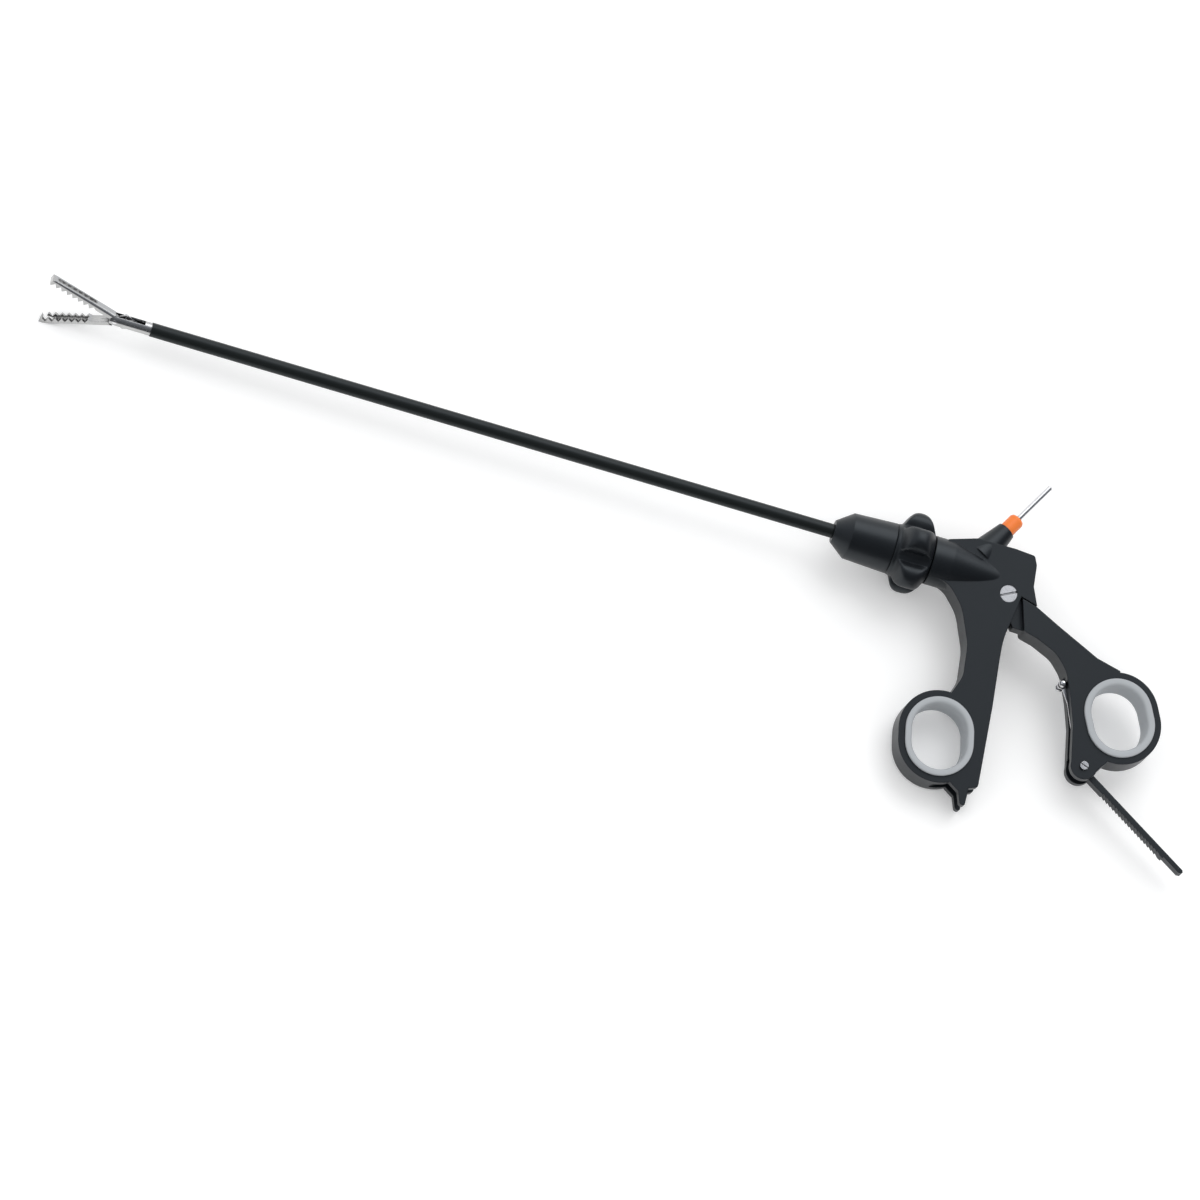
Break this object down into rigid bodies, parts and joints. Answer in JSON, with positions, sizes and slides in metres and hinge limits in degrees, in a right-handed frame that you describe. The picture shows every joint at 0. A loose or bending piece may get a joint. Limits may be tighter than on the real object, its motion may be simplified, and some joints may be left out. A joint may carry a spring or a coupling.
{
  "type": "laparoscopic grasper",
  "caption": "Long insulated keyhole-surgery grasper: toothed jaws on a scissor linkage, rotation knob, scissor ring handles, ratchet bar and electrode pin.",
  "frame": {"origin": "on the shaft's axis at the front face of the nose cone, where the bare shaft begins", "axes": "+X back along the shaft towards the handles, +Y towards the electrode pin, +Z out of the handle's near face (up, as the instrument lies on its side)"},
  "size_m": [0.4356, 0.1232, 0.0296],
  "materials": {
    "black_plastic": "satin moulded, nearly black",
    "shaft_coating": "satin shrink tube",
    "ratchet_plastic": "satin",
    "grey_soft_plastic": "soft satin",
    "orange_plastic": "semi-gloss",
    "seal_rubber": "matt",
    "jaw_steel": "satin electropolished",
    "polished_steel": "polished"
  },
  "bodies": {
    "housing": {"handle_body": "black_plastic", "finger_ring_insert": "grey_soft_plastic", "pivot_screw": "polished_steel", "pivot_nut": "polished_steel", "electrode_pin": "polished_steel", "electrode_collar": "orange_plastic", "contact_spring": "polished_steel", "contact_plunger": "polished_steel", "knob_clip": "polished_steel"},
    "shaft": {"rotation_knob": "black_plastic", "nose_cone": "black_plastic", "insulation_tube": "shaft_coating", "shaft_tube": "polished_steel", "shaft_nut": "polished_steel", "knob_seal": "seal_rubber", "rod_seal": "seal_rubber", "jaw_yoke": "jaw_steel", "jaw_pin": "polished_steel"},
    "rod": {"push_rod": "polished_steel", "rod_nut": "polished_steel", "disc_springs": "polished_steel", "rod_crosshead": "polished_steel", "crosshead_pin": "polished_steel"},
    "spool": {"drive_spool": "polished_steel"},
    "upper_link": {"upper_link": "polished_steel", "upper_link_pin": "polished_steel"},
    "lower_link": {"lower_link": "polished_steel", "lower_link_pin": "polished_steel"},
    "upper_jaw": {"upper_jaw": "jaw_steel"},
    "lower_jaw": {"lower_jaw": "jaw_steel"},
    "thumb_lever": {"thumb_handle": "black_plastic", "thumb_ring_insert": "grey_soft_plastic", "ratchet_screw": "polished_steel"},
    "ratchet": {"ratchet_bar": "ratchet_plastic"},
    "lever": {"release_lever": "polished_steel", "lever_crossbar": "polished_steel"}
  },
  "joints": [
    {"name": "thumb_squeeze", "type": "hinge", "parent": "housing", "child": "thumb_lever", "pos_m": [0.0647, -0.0053, 0], "axis": [0, 0, -1], "range_deg": [0, 24]},
    {"name": "knob_turn", "type": "hinge", "parent": "housing", "child": "shaft", "pos_m": [0.0352, 0, 0], "axis": [1, 0, 0], "continuous": true},
    {"name": "rod_slide", "type": "slide", "parent": "shaft", "child": "rod", "axis": [1, 0, 0], "range_m": [0, 0.0007]},
    {"name": "spool_slide", "type": "slide", "parent": "housing", "child": "spool", "axis": [1, 0, 0], "range_m": [0, 0.00225]},
    {"name": "upper_jaw_hinge", "type": "hinge", "parent": "shaft", "child": "upper_jaw", "pos_m": [-0.262, 0, 0], "axis": [0, -0.8192, 0.5736], "range_deg": [0, 18.01]},
    {"name": "lower_jaw_hinge", "type": "hinge", "parent": "shaft", "child": "lower_jaw", "pos_m": [-0.262, 0, 0], "axis": [0, 0.8192, -0.5736], "range_deg": [0, 18.01]},
    {"name": "upper_link_hinge", "type": "hinge", "parent": "rod", "child": "upper_link", "pos_m": [-0.2544, 0, 0], "axis": [0, 0.8192, -0.5736], "range_deg": [0, 14.58]},
    {"name": "lower_link_hinge", "type": "hinge", "parent": "rod", "child": "lower_link", "pos_m": [-0.2544, 0, 0], "axis": [0, -0.8192, 0.5736], "range_deg": [0, 14.58]},
    {"name": "ratchet_swing", "type": "hinge", "parent": "thumb_lever", "child": "ratchet", "pos_m": [0.1047, -0.0579, 0], "axis": [0, 0, -1], "range_deg": [0, 95]},
    {"name": "lever_press", "type": "hinge", "parent": "thumb_lever", "child": "lever", "pos_m": [0.1047, -0.0579, 0], "axis": [0, 0, 1], "range_deg": [0, 5], "stiffness_Nm_per_rad": 0.01}
  ],
  "couplings": [
    {"joint": "rod_slide", "follows": "thumb_squeeze", "m_per_rad": 0.00167},
    {"joint": "spool_slide", "follows": "thumb_squeeze", "m_per_rad": 0.0053789},
    {"joint": "upper_jaw_hinge", "follows": "thumb_squeeze", "ratio": 0.75},
    {"joint": "lower_jaw_hinge", "follows": "thumb_squeeze", "ratio": 0.75},
    {"joint": "upper_link_hinge", "follows": "thumb_squeeze", "ratio": 0.60716},
    {"joint": "lower_link_hinge", "follows": "thumb_squeeze", "ratio": 0.60716}
  ]
}
